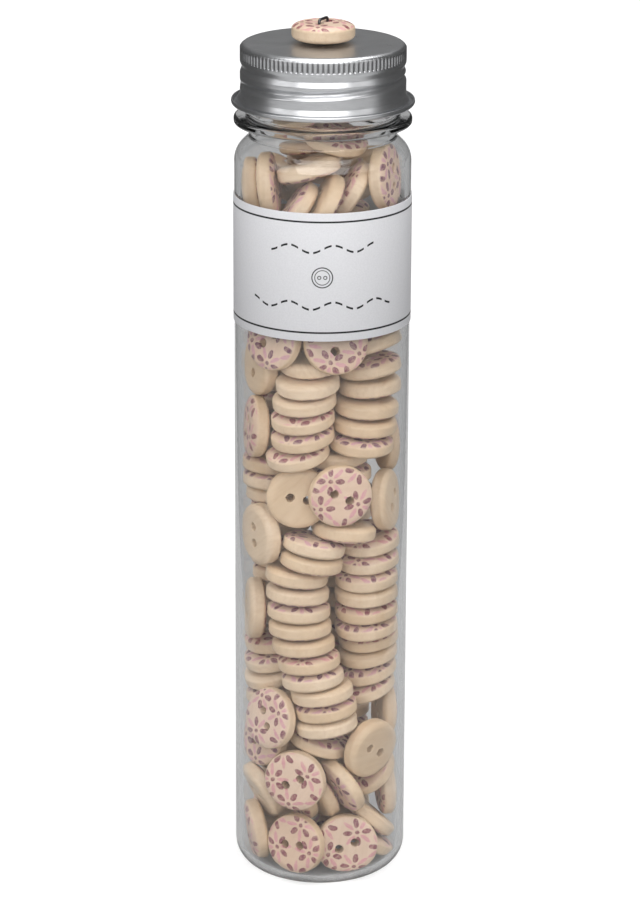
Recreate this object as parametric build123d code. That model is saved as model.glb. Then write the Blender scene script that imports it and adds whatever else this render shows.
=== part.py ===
from build123d import *
import math
import os
import numpy as np

# A clear tube jar with an aluminium screw cap, filled with printed wooden buttons.
# Millimetres. +Z is up, the jar stands on z = 0 and its axis is the Z axis. The front is -Y.

# Jar body: two buttons lie side by side across the bore and leave some room
button_room = 9.0
jar_wall = 1.5
base_thickness = 1.6
base_corner_radius = 6.0
base_ring_width = 3.0
base_recess_depth = 0.7
shoulder_height = 182.4
shoulder_slope = 45
shoulder_round = 6.0

# Jar neck, with the ring that carries the jar in the moulding line
neck_step = 3.5
neck_wall = 1.6
neck_round = 0.8
waist_height = 2.95
ring_reach = 3.6
ring_thickness = 2.0
ring_round = 0.7
rim_round = 0.5

# Screw thread of the neck, right-handed
thread_pitch = 4.23
thread_turns = 1.25
thread_depth = 1.1
thread_root_width = 2.3
thread_crest_width = 0.9
thread_sink = 0.4
thread_above_ring = 7.5
thread_below_rim = 7.4

# Screw cap, drawn from thin sheet
cap_sheet = 0.4
cap_overhang = 0.25
cap_edge_round = 1.1
cap_foot_gap = 2.5
knurl_band = 3.6
notch_drop = 1.9
notch_depth = 0.5
notch_rise = 1.3
notch_round = 0.5
cap_thread_clearance = 0.6
cap_engagement = 0.4
cap_groove_width = 2.4
cap_thread_start = 170
cap_thread_turns = 1.05
knurl_count = 100
knurl_depth = 0.25
knurl_width = 0.95
cap_skirt_flare = 0.7
flare_height = 1.8
curl_radius = 0.5
curl_turn = 215

# Sealing disc in the cap
liner_thickness = 1.0
liner_clearance = 0.5
seat_gap = 0.05

# Paper band round the jar
label_drop = 10.4
label_width = 30.9
label_paper = 0.2
label_gap = 0.05
label_overlap = 8.0

# Wooden buttons
button_diameter = 15.0
button_thickness = 4.0
button_rim = 2.1
front_edge_run = 2.5
back_edge_run = 1.8
hole_diameter = 2.1
hole_spacing = 4.2
button_gap = 0.15

# Wire that holds the sample button on the cap
wire_diameter = 0.7
wire_rise = 0.9
wire_tail = 3.2
wire_clearance = 0.1
sample_gap = 0.75
sample_turn = 62

# Loose buttons: bearing of the middle, its reach as a share of the inner radius, its height as a share of
# the shoulder height, bearing and rise of the side that shows, "p" for printed or "b" for back, and the
# tilt of the line of holes. Bearings count from +X towards +Y.
loose_shares = {
    "base": [
        (-121, 0.77, 0.052, -110, 18, "p", 5),
        (-62, 0.73, 0.053, -86, 16, "p", 22),
        (-172, 0.87, 0.056, 188, 0, "p", 60),
        (-8, 0.74, 0.05, -30, 45, "p", 100),
        (-6, 0.62, 0.082, 0, 62, "b", 20),
        (-122, 0.56, 0.122, -150, -44, "p", 30),
        (-88, 0.4, 0.112, -150, -44, "b", 80),
        (-58, 0.62, 0.134, -150, -30, "p", 60),
        (-100, 0.42, 0.192, -20, 54, "p", 40),
        (-6, 0.58, 0.135, -150, 55, "p", 75),
        (-175, 0.8, 0.125, 180, -20, "b", 15),
        (-162, 0.84, 0.18, -150, 8, "p", 50),
        (15, 0.87, 0.1, 12, 4, "b", 35),
        (-110, 0.84, 0.157, -98, 20, "p", 28),
        (-38, 0.8, 0.192, -58, 10, "b", 30),
        (-139, 0.82, 0.232, -126, 12, "p", -60),
        (4, 0.88, 0.21, 2, 0, "p", 25),
    ],
    "lower": [
        (178, 0.64, 0.272, -140, 50, "b", 0),
        (-172, 0.87, 0.374, 180, 3, "b", 45),
    ],
    "middle": [
        (-108, 0.78, 0.552, -98, -4, "b", 10),
        (-77, 0.87, 0.555, -86, -2, "p", -27),
        (-17, 0.86, 0.532, -50, 0, "b", -45),
        (-147, 0.86, 0.49, -138, 0, "b", 85),
        (-62, 0.61, 0.5, -10, 82, "b", 30),
        (12, 0.87, 0.6, 12, 0, "p", 65),
        (120, 0.86, 0.55, 120, 0, "p", 15),
    ],
    "upper": [
        (-163, 0.86, 0.637, -154, 0, "p", 70),
        (-170, 0.86, 0.716, -152, 0, "b", 80),
        (-135, 0.85, 0.757, -121, 3, "p", 40),
        (-82, 0.8, 0.758, -88, 18, "p", 75),
    ],
    "top": [
        (-118, 0.47, 0.98, 90, 80, "b", 20),
        (-158, 0.78, 0.961, 8, 6, "p", 50),
        (-179, 0.89, 0.951, 180, 0, "b", 10),
        (-121, 0.56, 0.925, -172, 40, "p", 35),
        (-83, 0.54, 0.945, -170, 40, "b", 60),
        (-41, 0.47, 0.955, -165, 42, "p", 15),
        (-27, 0.8, 0.97, -38, 3, "p", 80),
        (-47, 0.63, 0.918, -120, 76, "p", 45),
        (-60, 0.25, 1.02, -20, 62, "p", 5),
        (120, 0.3, 1.005, 150, 60, "b", 30),
        (-150, 0.25, 1.042, 190, 70, "b", 55),
        (150, 0.6, 0.952, 60, 60, "p", 20),
        (95, 0.6, 0.96, -60, 70, "b", 45),
        (40, 0.62, 0.962, 120, 50, "p", 65),
    ],
}

# Stacks of buttons: bearing at the bottom and the top, reach, bottom and top height as shares as above,
# bearing and angle of the lean, and the upper sides from the bottom up.
stack_shares = {
    "stacks_base": [
        (74, 64, 0.61, 0.016, 0.215, 60, 4, "pbp"),
        (152, 148, 0.61, 0.016, 0.215, 100, 5, "pb"),
    ],
    "stacks_lower_front": [
        (-82, -104, 0.61, 0.214, 0.33, 180, 16, "bpbppb"),
        (-110, -118, 0.61, 0.33, 0.455, -90, 2, "bbpbb"),
        (-104, -96, 0.61, 0.458, 0.504, 0, 12, "bp"),
        (4, -8, 0.61, 0.238, 0.345, 180, 6, "ppbp"),
        (-22, -29, 0.61, 0.345, 0.495, -90, 2, "ppbppp"),
    ],
    "stacks_lower_back": [
        (92, 62, 0.61, 0.216, 0.5, 60, 3, "pbbp"),
        (178, 172, 0.61, 0.218, 0.262, -90, 3, "pb"),
        (178, 174, 0.61, 0.293, 0.34, -90, 3, "pp"),
        (146, 150, 0.61, 0.345, 0.515, 120, 3, "pbpp"),
    ],
    "stacks_middle": [
        (178, 182, 0.61, 0.517, 0.586, -90, 4, "bpp"),
        (-54, -54, 0.26, 0.51, 0.605, 0, 4, "pb"),
        (62, 66, 0.61, 0.5, 0.6, 30, 4, "bp"),
    ],
    "stacks_upper": [
        (-114, -106, 0.61, 0.592, 0.734, 180, 8, "pppbbb"),
        (-40, -26, 0.61, 0.587, 0.675, 180, 6, "pbbp"),
        (-20, -2, 0.61, 0.675, 0.785, 180, 9, "bpppp"),
        (60, 66, 0.61, 0.6, 0.79, 60, 3, "pbp"),
        (138, 142, 0.61, 0.592, 0.79, 120, 3, "bpp"),
    ],
    "stacks_label": [
        (-108, -108, 0.61, 0.812, 0.905, 0, 3, "pb"),
        (-20, -20, 0.61, 0.795, 0.905, 90, 3, "ppb"),
        (70, 70, 0.61, 0.795, 0.92, 0, 3, "pb"),
        (160, 160, 0.61, 0.795, 0.92, 180, 3, "bp"),
    ],
}

# How the buttons are settled
settle_rounds = 800
held_rounds = 260
mend_rounds = 80
renew_rounds = 10
hold_share = 0.03
steady_share = 0.3
drop_share = 0.0025
tight_share = 0.2
relax_share = 2.2
square_share = 0.08
tiny_share = 1e-9
coarse_shares = (0.4, 0.2, 0.1)
fine_shares = (0.15, 0.04, 0.012)
ring_points = 20

# Sizes worked out from the ones above
inner_radius = button_diameter + button_room / 2
jar_radius = inner_radius + jar_wall
neck_radius = jar_radius - neck_step
bore_radius = neck_radius - neck_wall
ring_radius = neck_radius + ring_reach
neck_low = shoulder_height + neck_step * math.tan(math.radians(shoulder_slope))
ring_low = neck_low + waist_height
ring_high = ring_low + ring_thickness
thread_low = ring_high + thread_above_ring
rim_height = thread_low + thread_below_rim
wall_turn = jar_wall * math.tan(math.radians(shoulder_slope / 2))
inner_shoulder = shoulder_height - wall_turn
bore_low = inner_shoulder + (inner_radius - bore_radius) * math.tan(math.radians(shoulder_slope))
liner_low = rim_height + seat_gap
liner_high = liner_low + liner_thickness
plate_low = liner_high + wire_diameter + seat_gap
cap_top = plate_low + cap_sheet
cap_low = ring_high + cap_foot_gap
sample_low = cap_top + sample_gap
label_low = shoulder_height - label_drop - label_width
thread_crest = neck_radius + thread_depth
skirt_inner = thread_crest + cap_thread_clearance
skirt_radius = skirt_inner + cap_sheet
cap_radius = skirt_radius + cap_overhang
button_radius = button_diameter / 2
front_flat = button_radius - front_edge_run
back_flat = button_radius - back_edge_run
half_thickness = button_thickness / 2
half_rim = button_rim / 2
button_pitch = button_thickness + button_gap


def jar_profile():
    """Half section of the jar in the XZ plane, closed along the axis."""
    slope = math.tan(math.radians(shoulder_slope / 2))
    room = neck_step / math.cos(math.radians(shoulder_slope)) - neck_round * slope
    outer_round = min(shoulder_round, room / slope)
    inner_round = max(outer_round - jar_wall, neck_round)
    corner = max(base_corner_radius - jar_wall, neck_round)
    outline = [
        ((0, 0), 0),
        ((jar_radius, 0), base_corner_radius),
        ((jar_radius, shoulder_height), outer_round),
        ((neck_radius, neck_low), neck_round),
        ((neck_radius, ring_low), neck_round),
        ((ring_radius, ring_low), ring_round),
        ((ring_radius, ring_high), ring_round),
        ((neck_radius, ring_high), neck_round),
        ((neck_radius, rim_height), rim_round),
        ((bore_radius, rim_height), rim_round),
        ((bore_radius, bore_low), neck_round),
        ((inner_radius, inner_shoulder), inner_round),
        ((inner_radius, base_thickness), corner),
        ((0, base_thickness), 0),
    ]
    points = [point for point, _ in outline]
    rounds = [value for _, value in outline]
    return make_face(Plane.XZ * FilletPolyline(*points, radius=rounds, close=True))


def neck_thread():
    """The raised helix that the cap runs on."""
    path = Helix(thread_pitch, thread_pitch * thread_turns, neck_radius, center=(0, 0, thread_low))
    root = thread_root_width / 2
    crest = thread_crest_width / 2
    section = make_face(Polyline(
        (-thread_sink, -root), (0, -root), (thread_depth, -crest),
        (thread_depth, crest), (0, root), (-thread_sink, root), close=True))
    start = Plane(origin=path @ 0, x_dir=(1, 0, 0), z_dir=path % 0)
    return sweep(start * section, path=path, is_frenet=True)


def make_jar():
    """Tube with rounded base, sloping shoulder, ring, threaded neck and a shallow recess underneath."""
    body = revolve(jar_profile(), axis=Axis.Z)
    recess_radius = jar_radius - base_corner_radius - base_ring_width
    dome = (recess_radius ** 2 + base_recess_depth ** 2) / (2 * base_recess_depth)
    body -= Pos(0, 0, base_recess_depth - dome) * Sphere(dome)
    return body + neck_thread()


def make_label():
    """Paper band that goes once round the jar, with its end lying over its start at the back."""
    low = jar_radius + label_gap
    high = low + label_paper
    band = Cylinder(high, label_width) - Cylinder(low, label_width)
    lap = math.degrees(label_overlap / high)
    strip = Plane.XZ * Pos(high + label_paper / 2, 0) * Rectangle(label_paper, label_width)
    tab = Rot(0, 0, 90 - lap / 2) * revolve(strip, axis=Axis.Z, revolution_arc=lap)
    return Pos(0, 0, label_low + label_width / 2) * (band + tab)


def cap_line():
    """Outer line of the cap's sheet, from the middle of the plate down to the curled edge."""
    lip = skirt_radius + cap_skirt_flare
    curl_height = cap_low + curl_radius + cap_sheet
    knurl_low = cap_top - knurl_band
    notch_height = knurl_low - notch_drop
    points = [
        (0, cap_top), (cap_radius, cap_top), (cap_radius, knurl_low),
        (skirt_radius - notch_depth, notch_height), (skirt_radius, notch_height - notch_rise),
        (skirt_radius, curl_height + flare_height), (lip, curl_height + curl_radius), (lip, curl_height),
    ]
    rounds = [cap_edge_round, 2 * cap_sheet, notch_round, 2 * cap_sheet, flare_height / 2, curl_radius]
    wall = FilletPolyline(*points, radius=rounds)
    curl = CenterArc((lip + curl_radius, curl_height), curl_radius, 180, curl_turn)
    return Wire(list(wall.edges()) + list(curl.edges()))


def cap_thread():
    """The groove rolled into the skirt from outside and the ridge that it raises inside."""
    ridge_depth = cap_thread_clearance + cap_engagement
    rise = thread_pitch * cap_thread_start / 360
    low = thread_low - thread_pitch / 2 + rise
    half = cap_groove_width / 2
    path = Helix(thread_pitch, thread_pitch * cap_thread_turns, skirt_inner, center=(0, 0, low))
    start = Plane(origin=path @ 0, x_dir=(1, 0, 0), z_dir=path % 0)
    narrow = half - cap_sheet
    ridge = make_face(Polyline(
        (cap_sheet / 2, -half), (-ridge_depth, -narrow / 2), (-ridge_depth, narrow / 2),
        (cap_sheet / 2, half), close=True))
    bottom = cap_sheet - ridge_depth
    groove = make_face(Polyline(
        (cap_sheet * 2, -half), (bottom, -narrow / 4), (bottom, narrow / 4),
        (cap_sheet * 2, half), close=True))
    return [Rot(0, 0, cap_thread_start) * sweep(start * section, path=path, is_frenet=True)
            for section in (ridge, groove)]


def knurl_grooves():
    """Upright grooves round the top of the cap that run out over its rounded edge."""
    radius = (knurl_width ** 2 / 4 + knurl_depth ** 2) / (2 * knurl_depth)
    middle = cap_radius + radius - knurl_depth
    tool = Pos(middle, 0, cap_top - knurl_band / 2) * Cylinder(radius, knurl_band)
    return [Rot(0, 0, 360 * k / knurl_count) * tool for k in range(knurl_count)]


def wire_holes(diameter):
    """Two short cylinders through the cap's plate where the wire passes."""
    hole = Cylinder(diameter / 2, cap_sheet * 3)
    span = hole_spacing / 2
    return [Pos(0, 0, cap_top) * Rot(0, 0, sample_turn) * Pos(side * span, 0, 0) * hole for side in (-1, 1)]


def make_cap():
    """Drawn cap: flat plate, knurled shoulder, rolled thread, flared skirt and curled edge."""
    sheet = cap_line().offset_2d(cap_sheet, side=Side.RIGHT)
    shell = revolve(Plane.XZ * make_face(sheet), axis=Axis.Z)
    ridge, groove = cap_thread()
    holes = wire_holes(wire_diameter + 2 * wire_clearance)
    return shell + ridge - groove - holes - knurl_grooves()


def make_liner():
    """Round sealing disc that lies on the neck's rim."""
    radius = cap_radius - cap_sheet - liner_clearance
    return Pos(0, 0, liner_low + liner_thickness / 2) * Cylinder(radius, liner_thickness)


def make_wire():
    """Wire staple over the sample button, with its tails bent out beneath the cap's plate."""
    span = hole_spacing / 2
    low = liner_high + seat_gap / 2 + wire_diameter / 2
    high = sample_low + button_thickness + wire_rise
    points = [(-span - wire_tail, low), (-span, low), (-span, high), (span, high), (span, low),
              (span + wire_tail, low)]
    path = Plane.XZ * FilletPolyline(*points, radius=wire_diameter)
    section = Plane(origin=path @ 0, z_dir=path % 0) * Circle(wire_diameter / 2)
    return Rot(0, 0, sample_turn) * sweep(section, path=path)


def make_button():
    """One turned button, printed face up, its middle at the origin and its holes along X."""
    front = TangentArc((front_flat, half_thickness), (button_radius, half_rim), tangent=(1, 0))
    back = TangentArc((back_flat, -half_thickness), (button_radius, -half_rim), tangent=(1, 0))
    outline = [
        Line((0, half_thickness), front @ 0), front, Line(front @ 1, back @ 1), back,
        Line(back @ 0, (0, -half_thickness)), Line((0, -half_thickness), (0, half_thickness)),
    ]
    disc = revolve(Plane.XZ * make_face(Wire(outline)), axis=Axis.Z)
    hole = Cylinder(hole_diameter / 2, 2 * button_thickness)
    return disc - [Pos(side * hole_spacing / 2, 0, 0) * hole for side in (-1, 1)]


def heading(bearing, rise):
    """Unit direction with the given bearing and rise."""
    turn = math.radians(bearing)
    lift = math.radians(rise)
    return np.array([math.cos(turn) * math.cos(lift), math.sin(turn) * math.cos(lift), math.sin(lift)])


def spot(bearing, reach, height):
    """Place in the jar from a bearing, a share of the inner radius and a share of the shoulder height."""
    place = heading(bearing, 0) * reach * inner_radius
    place[2] = height * shoulder_height
    return place


def first_places():
    """Names, middles, printed directions and hole tilts of all buttons before they settle."""
    rows = []
    for zone, entries in loose_shares.items():
        for k, (bearing, reach, height, facing, rise, side, tilt) in enumerate(entries):
            way = 1 if side == "p" else -1
            name = f"button_{zone}_{k + 1:02d}"
            rows.append((name, spot(bearing, reach, height), way * heading(facing, rise), tilt))
    for name, entries in stack_shares.items():
        for start, end, reach, low, high, lean_bearing, lean, sides in entries:
            count = int((high - low) * shoulder_height / button_pitch)
            for k in range(count):
                share = (k + 0.5) / count
                place = spot(start + (end - start) * share, reach, low + (high - low) * share)
                way = 1 if sides[k % len(sides)] == "p" else -1
                rows.append((name, place, way * heading(lean_bearing, 90 - lean), 47 * len(rows)))
    names, places, faces, tilts = zip(*rows)
    return names, np.array(places), np.array(faces), tilts


def unit(vectors):
    """Vectors of length one."""
    return vectors / np.linalg.norm(vectors, axis=-1, keepdims=True)


def edge_line():
    """Reach and height of points along the rounded edge of a button, from the flat to the rim."""
    drop = half_thickness - half_rim
    run = min(front_edge_run, back_edge_run)
    flat = button_radius - run
    radius = (run ** 2 + drop ** 2) / (2 * drop)
    turn = np.linspace(0, math.asin(run / radius), 4)
    return flat + radius * np.sin(turn), half_thickness - radius * (1 - np.cos(turn))


edge_reach, edge_height = edge_line()


def extents(cosine):
    """How far each edge point of a button reaches along a direction at this cosine to its axis."""
    along = np.abs(cosine)
    across = np.sqrt(np.clip(1 - along ** 2, 0, 1))
    return across[..., None] * edge_reach + along[..., None] * edge_height


def apart(ways, offsets, first, second):
    """Free distance between pairs of buttons along each trial direction."""
    near = extents(np.einsum("pkc,pc->pk", ways, first)).max(-1)
    far = extents(np.einsum("pkc,pc->pk", ways, second)).max(-1)
    return np.einsum("pkc,pc->pk", ways, offsets) - near - far


def square_pair(axes):
    """Two unit directions square to each axis and to each other."""
    helper = np.where(np.abs(axes[:, :1]) < 0.7, [[1.0, 0, 0]], [[0, 1.0, 0]])
    side = unit(np.cross(axes, helper))
    return side, np.cross(axes, side)


def widest_way(offsets, first, second, ways, steps):
    """Direction along which each pair of buttons is furthest apart, found by a shrinking search."""
    rows = np.arange(len(offsets))
    lead = np.where(np.sum(first * offsets, -1) < 0, -1, 1)[:, None] * first
    trail = np.where(np.sum(second * offsets, -1) < 0, -1, 1)[:, None] * second
    trials = np.stack([lead, trail, unit(offsets), ways], 1)
    free = apart(trials, offsets, first, second)
    pick = free.argmax(1)
    ways = trials[rows, pick]
    best = free[rows, pick]
    angles = np.arange(8) * math.pi / 4
    for step in steps:
        side, up = square_pair(ways)
        ring = np.cos(angles)[None, :, None] * side[:, None] + np.sin(angles)[None, :, None] * up[:, None]
        trials = unit(ways[:, None] + step * ring)
        free = apart(trials, offsets, first, second)
        pick = free.argmax(1)
        better = free[rows, pick] > best
        ways = np.where(better[:, None], trials[rows, pick], ways)
        best = np.where(better, free[rows, pick], best)
    return ways, best


def touch_point(ways, faces):
    """Point of each button furthest along a direction, seen from its middle, and how edge-on it is."""
    along = np.sum(ways * faces, -1)
    pick = extents(along).argmax(-1)
    across = ways - along[:, None] * faces
    edge_on = np.linalg.norm(across, axis=-1)
    outward = across / np.maximum(edge_on, tiny_share)[:, None]
    reach = edge_reach[pick] * np.minimum(1, edge_on / square_share)
    return outward * reach[:, None] + faces * (np.sign(along) * edge_height[pick])[:, None], edge_on


def wall_contacts(places, faces):
    """Deepest point of each button past side wall, floor and rounded corner: depth, direction and arm."""
    side, up = square_pair(faces)
    angles = np.arange(ring_points) * 2 * math.pi / ring_points
    ring = np.cos(angles)[None, :, None] * side[:, None] + np.sin(angles)[None, :, None] * up[:, None]
    arms = np.concatenate([ring * reach + way * height * faces[:, None]
                           for reach, height in zip(edge_reach, edge_height) for way in (-1, 1)], 1)
    points = places[:, None] + arms
    radii = np.linalg.norm(points[..., :2], axis=-1)
    heights = points[..., 2]
    outward = points * [1, 1, 0] / np.maximum(radii, tiny_share)[..., None]
    down = np.broadcast_to([0, 0, -1.0], points.shape)
    slope = 1 / math.tan(math.radians(shoulder_slope))
    narrowed = inner_radius - slope * np.clip(heights - inner_shoulder, 0, None)
    past_wall = radii - np.maximum(narrowed, bore_radius)
    past_floor = base_thickness - heights
    corner = base_corner_radius - jar_wall
    over_side = np.clip(radii - inner_radius + corner, 0, None)
    over_floor = np.clip(base_thickness + corner - heights, 0, None)
    past_corner = np.where(over_side * over_floor > 0, np.hypot(over_side, over_floor) - corner, -corner)
    slanted = outward * over_side[..., None] + down * over_floor[..., None]
    slanted = slanted / np.maximum(np.linalg.norm(slanted, axis=-1, keepdims=True), tiny_share)
    rows = np.arange(len(places))
    contacts = []
    for depths, ways in ((past_wall, outward), (past_floor, down), (past_corner, slanted)):
        pick = depths.argmax(1)
        contacts.append((depths[rows, pick], ways[rows, pick], arms[rows, pick]))
    return contacts


def neighbours(places):
    """Pairs of buttons that are close enough to touch."""
    distance = np.linalg.norm(places[:, None] - places[None], axis=-1)
    return np.where(np.triu(distance < button_diameter + half_thickness, 1))


def free_room(places, faces):
    """Least free distance of each button to its neighbours and the jar."""
    one, two = neighbours(places)
    offsets = places[two] - places[one]
    _, free = widest_way(offsets, faces[one], faces[two], unit(offsets), coarse_shares + fine_shares)
    room = np.full(len(places), button_diameter)
    np.minimum.at(room, one, free)
    np.minimum.at(room, two, free)
    for depth, _, _ in wall_contacts(places, faces):
        room = np.minimum(room, -depth)
    return room


def settle(places, faces, yields, rounds, held):
    """Push the buttons apart, each as it yields; while held they sink and keep near their place."""
    start_places = places.copy()
    start_faces = faces.copy()
    swing = 1 / (button_radius ** 2 / 4 + half_thickness ** 2 / 3)
    for turn in range(rounds):
        if turn % renew_rounds == 0:
            one, two = neighbours(places)
            offsets = places[two] - places[one]
            ways, _ = widest_way(offsets, faces[one], faces[two], unit(offsets), coarse_shares)
        ways, free = widest_way(places[two] - places[one], faces[one], faces[two], ways, fine_shares)
        close = free < button_gap
        a = one[close]
        b = two[close]
        way = ways[close]
        arm_a, edge_a = touch_point(way, faces[a])
        arm_b, edge_b = touch_point(-way, faces[b])
        weight = (edge_a / (edge_a + edge_b + tiny_share))[:, None]
        contact = weight * (places[a] + arm_a) + (1 - weight) * (places[b] + arm_b)
        twist_a = np.cross(contact - places[a], way)
        twist_b = np.cross(contact - places[b], way)
        stiff_a = yields[a] * (1 + swing * np.sum(twist_a ** 2, -1))
        stiff_b = yields[b] * (1 + swing * np.sum(twist_b ** 2, -1))
        push = ((button_gap - free[close]) / (stiff_a + stiff_b))[:, None]
        moves = np.zeros_like(places)
        twists = np.zeros_like(places)
        touches = np.zeros(len(places))
        for index, sign, twist in ((a, -1, twist_a), (b, 1, twist_b)):
            share = sign * push * yields[index][:, None]
            np.add.at(moves, index, share * way)
            np.add.at(twists, index, share * swing * twist)
            np.add.at(touches, index, 1)
        for depth, way, arm in wall_contacts(places, faces):
            depth = np.clip(depth + button_gap, 0, None)
            twist = np.cross(arm, way)
            push = (depth / (1 + swing * np.sum(twist ** 2, -1)))[:, None]
            moves -= push * way
            twists -= push * swing * twist
            touches += depth > 0
        ease = (relax_share / np.maximum(touches, relax_share))[:, None]
        places = places + moves * ease
        faces = unit(faces + np.cross(twists * ease, faces))
        if turn < held:
            places = places + hold_share * (start_places - places)
            faces = unit(faces + hold_share * (start_faces - faces))
            places[:, 2] -= drop_share * button_thickness
    return places, faces


def fill_jar():
    """Settled buttons; a stacked one that finds no room isn't put in."""
    names, places, faces, tilts = first_places()
    names = np.array(names)
    tilts = np.array(tilts)
    stacked = np.isin(names, list(stack_shares))
    yields = np.where(stacked, 1, steady_share)
    places, faces = settle(places, faces, yields, settle_rounds, held_rounds)
    room = free_room(places, faces)
    while stacked.any() and room.min() < tight_share * button_gap:
        out = np.where(stacked, room, button_diameter).argmin()
        names, places, faces, tilts, stacked, yields = (
            np.delete(values, out, 0) for values in (names, places, faces, tilts, stacked, yields))
        places, faces = settle(places, faces, yields, mend_rounds, 0)
        room = free_room(places, faces)
    return zip(names, places, faces, tilts)


def lay(button, place, face, tilt):
    """The button at its place, printed side along face, with its holes tilted as seen from that side."""
    up = (0, 0, 1) if abs(face[2]) < 0.9 else (0, 1, 0)
    side = unit(np.cross(up, face))
    over = np.cross(face, side)
    holes = math.cos(math.radians(tilt)) * side + math.sin(math.radians(tilt)) * over
    return Plane(origin=tuple(place), x_dir=tuple(holes), z_dir=tuple(face)).location * button


def make_loose_buttons():
    """All buttons in the jar by node: one node for each loose button, one for each set of stacks."""
    button = make_button()
    nodes = {}
    for name, place, face, tilt in fill_jar():
        nodes.setdefault(name, []).append(lay(button, place, face, tilt))
    return {name: solids[0] if len(solids) == 1 else Compound(solids) for name, solids in nodes.items()}


sample_place = Pos(0, 0, sample_low + half_thickness) * Rot(0, 0, sample_turn)
parts = {
    "jar": make_jar(),
    "label_band": make_label(),
    "screw_cap": make_cap(),
    "cap_liner": make_liner(),
    "sample_button": sample_place * make_button(),
    "button_wire": make_wire(),
}
parts.update(make_loose_buttons())

os.makedirs("parts", exist_ok=True)
for name, solid in parts.items():
    export_step(solid, f"parts/{name}.step")
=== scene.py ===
import math

import bpy
import numpy as np
from mathutils import Matrix, Vector
from mathutils.geometry import delaunay_2d_cdt


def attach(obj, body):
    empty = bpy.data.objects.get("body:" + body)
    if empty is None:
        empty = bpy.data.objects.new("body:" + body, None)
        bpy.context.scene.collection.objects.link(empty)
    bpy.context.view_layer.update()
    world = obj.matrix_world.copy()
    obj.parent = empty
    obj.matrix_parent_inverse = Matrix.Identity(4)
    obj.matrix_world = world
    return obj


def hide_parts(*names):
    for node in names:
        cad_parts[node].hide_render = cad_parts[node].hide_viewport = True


# A clear tube jar of printed wooden buttons. Lengths are in millimetres until they reach a mesh.
MM = 0.001

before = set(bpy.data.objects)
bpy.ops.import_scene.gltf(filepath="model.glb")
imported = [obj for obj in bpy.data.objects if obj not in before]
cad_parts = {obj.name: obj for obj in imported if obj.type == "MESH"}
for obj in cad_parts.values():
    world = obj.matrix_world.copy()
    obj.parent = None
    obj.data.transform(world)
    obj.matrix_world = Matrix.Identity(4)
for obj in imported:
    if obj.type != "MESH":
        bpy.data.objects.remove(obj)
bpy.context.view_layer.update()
scene = bpy.context.scene
scene.view_settings.view_transform = "Standard"

# Longest step of a line where a thread or a knurl changes its radius
FINE_STEP = 0.3

# Jar, as in the part
JAR_R, WALL, BASE, CORNER = 21.0, 1.5, 1.6, 6.0
RECESS_R, RECESS_DEPTH = 12.0, 0.7
SHOULDER_Z, SHOULDER_ROUND, SHOULDER_SLOPE = 182.4, 6.0, 45
NECK_R, BORE_R, NECK_ROUND = 17.5, 15.9, 0.8
NECK_Z = SHOULDER_Z + JAR_R - NECK_R
WAIST, RING_TOP, FINISH = 2.95, 4.95, 14.9
RING_R, RING_LOW, RING_HIGH, RING_ROUND = 21.1, NECK_Z + WAIST, NECK_Z + RING_TOP, 0.7
RIM_Z, RIM_ROUND = RING_HIGH + FINISH, 0.5
PITCH, THREAD_BELOW_RIM = 4.23, 7.4
THREAD_LOW, THREAD_TURNS, THREAD_DEPTH = RIM_Z - THREAD_BELOW_RIM, 1.25, 1.1
THREAD_ROOT, THREAD_CREST = 2.3, 0.9
JAR_COLUMNS = 192

# Cap, over the liner and the wire's tails
SHEET, SEAT_GAP, LINER, WIRE_R = 0.4, 0.05, 1.0, 0.35
PLATE_LOW = RIM_Z + SEAT_GAP + LINER + 2 * WIRE_R + SEAT_GAP
CAP_TOP, CAP_HEIGHT = PLATE_LOW + SHEET, 14.6
CAP_LOW = CAP_TOP - CAP_HEIGHT
CAP_R, SKIRT_R, EDGE_ROUND, BEND_ROUND = 19.85, 19.6, 1.8, 2 * SHEET
CURL_R, FLARE, FLARE_HEIGHT = 0.5, 0.7, 1.8
LIP = SKIRT_R + FLARE
CURL_Z = CAP_LOW + CURL_R + SHEET
KNURLS, KNURL_DEPTH, KNURL_HALF, KNURL_BAND = 100, 0.3, 0.42, 3.6
KNURL_LOW, KNURL_HIGH, KNURL_FADE = CAP_TOP - KNURL_BAND, CAP_TOP - 0.9, 0.3
NOTCH_DROP, NOTCH_DEPTH, NOTCH_RISE, NOTCH_ROUND = 1.9, 0.5, 1.3, 0.5
NOTCH_Z = KNURL_LOW - NOTCH_DROP
ROLL_START, ROLL_TURNS, ROLL_DEPTH, ROLL_WIDTH = 170, 1.05, 1.0, 2.4
ROLL_FOOT, ROLL_REACH = CURL_Z + 1.0, 0.75
PLATE_RINGS, PLATE_FLAT = (0, 4, 9, 14, 17.5), 17.6
CAP_COLUMNS, INNER_COLUMNS = 700, 200

# Label, with what is drawn on it: heights from its lower edge, and (height, half length) of the stitched lines
LABEL_LOW, LABEL_WIDTH, LABEL_GAP, LABEL_PAPER = 141.1, 30.9, 0.05, 0.2
LABEL_R = JAR_R + LABEL_GAP
LABEL_HIGH, LABEL_OUT = LABEL_LOW + LABEL_WIDTH, LABEL_R + LABEL_PAPER
LABEL_INNER_ROUND, LABEL_OUTER_ROUND, LABEL_COLUMNS = 0.03, 0.05, 288
LAP_ANGLE, LAP_HALF, LAP_FADE = 90, 4.2, 0.3
BORDER_IN, BORDER_HALF = 2.1, 0.22
STITCHES = ((22.3, 13.0), (8.6, 18.2))
STITCH_PITCH, WAVE_RATE, WAVE_RISE = 2.6, 0.6, 0.9
# Circles of the drawn button: (sideways place, radius, half line width)
CIRCLES_Z = 15.5
CIRCLES = ((0.0, 2.4, 0.13), (0.0, 1.75, 0.09), (-0.7, 0.38, 0.1), (0.7, 0.38, 0.1))

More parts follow.
